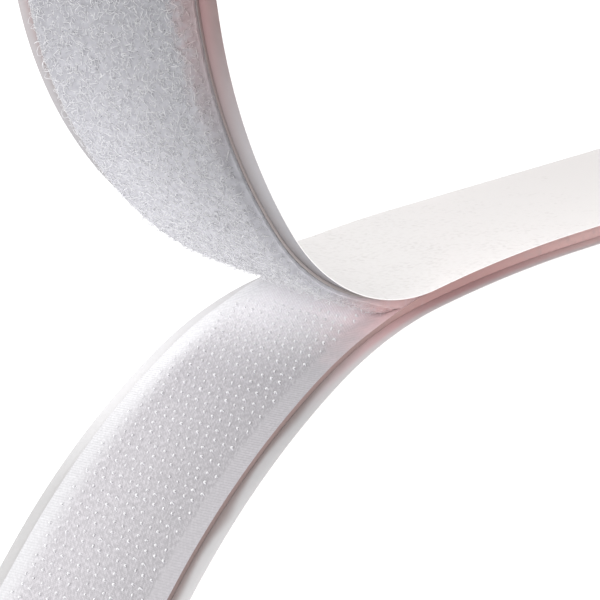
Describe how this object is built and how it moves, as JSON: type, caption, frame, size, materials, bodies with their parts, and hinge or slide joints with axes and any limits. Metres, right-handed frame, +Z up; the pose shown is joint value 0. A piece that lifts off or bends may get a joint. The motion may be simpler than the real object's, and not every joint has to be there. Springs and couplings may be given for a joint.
{
  "type": "hook and loop tape roll",
  "caption": "Roll of white self-adhesive hook and loop tape on a paper core, with a mated tail whose end is peeled open into a standing hook leg and a raised loop leg.",
  "frame": {"origin": "middle of the flat on which the roll stands", "axes": "+Z up, the roll's axis along Y, the tail and both legs run to -X"},
  "size_m": [0.2247, 0.03, 0.1166],
  "materials": {
    "core_board": "matte brown board",
    "liner": "smooth off-white coated paper",
    "hook_tape": "fine white weave",
    "loop_tape": "fine white weave",
    "loop_pile": "brushed fibre loops",
    "hooks": "clear white monofilament",
    "adhesive": "tacky coat, pink at its cut edge"
  },
  "bodies": {
    "roll": {"core": "core_board", "wound_hook_liner": "liner", "wound_hook_tape": "hook_tape", "wound_loop_tape": "loop_tape", "wound_loop_liner": "liner", "hook_ground": "hook_tape", "hook_adhesive": "adhesive", "hook_liner": "liner", "hook_rows_upper": "hooks", "hook_rows_lower": "hooks", "hook_rows_end": "hooks", "tail_loop_pile": "loop_pile", "tail_loop_ground": "loop_tape", "tail_loop_adhesive": "adhesive", "tail_loop_liner": "liner"},
    "loop_leg": {"loop_leg_pile": "loop_pile", "loop_leg_ground": "loop_tape", "loop_leg_adhesive": "adhesive", "loop_leg_liner": "liner"},
    "loop_liner_flap": {"loop_liner_flap": "liner"},
    "hook_liner_flap": {"hook_liner_flap": "liner"}
  },
  "joints": [
    {"name": "loop_peel", "type": "hinge", "parent": "roll", "child": "loop_leg", "pos_m": [-0.09511, 0, 0.05272], "axis": [0.3506, 0.9334, 0.0764], "range_deg": [-5, 45]},
    {"name": "loop_liner_peel", "type": "hinge", "parent": "loop_leg", "child": "loop_liner_flap", "pos_m": [-0.1298, 0, 0.06776], "axis": [0.0203, 0.9998, 0.0034], "range_deg": [0, 35]},
    {"name": "hook_liner_peel", "type": "hinge", "parent": "roll", "child": "hook_liner_flap", "pos_m": [-0.17953, 0, 0.0023], "axis": [0, -1, 0], "range_deg": [0, 30]}
  ]
}
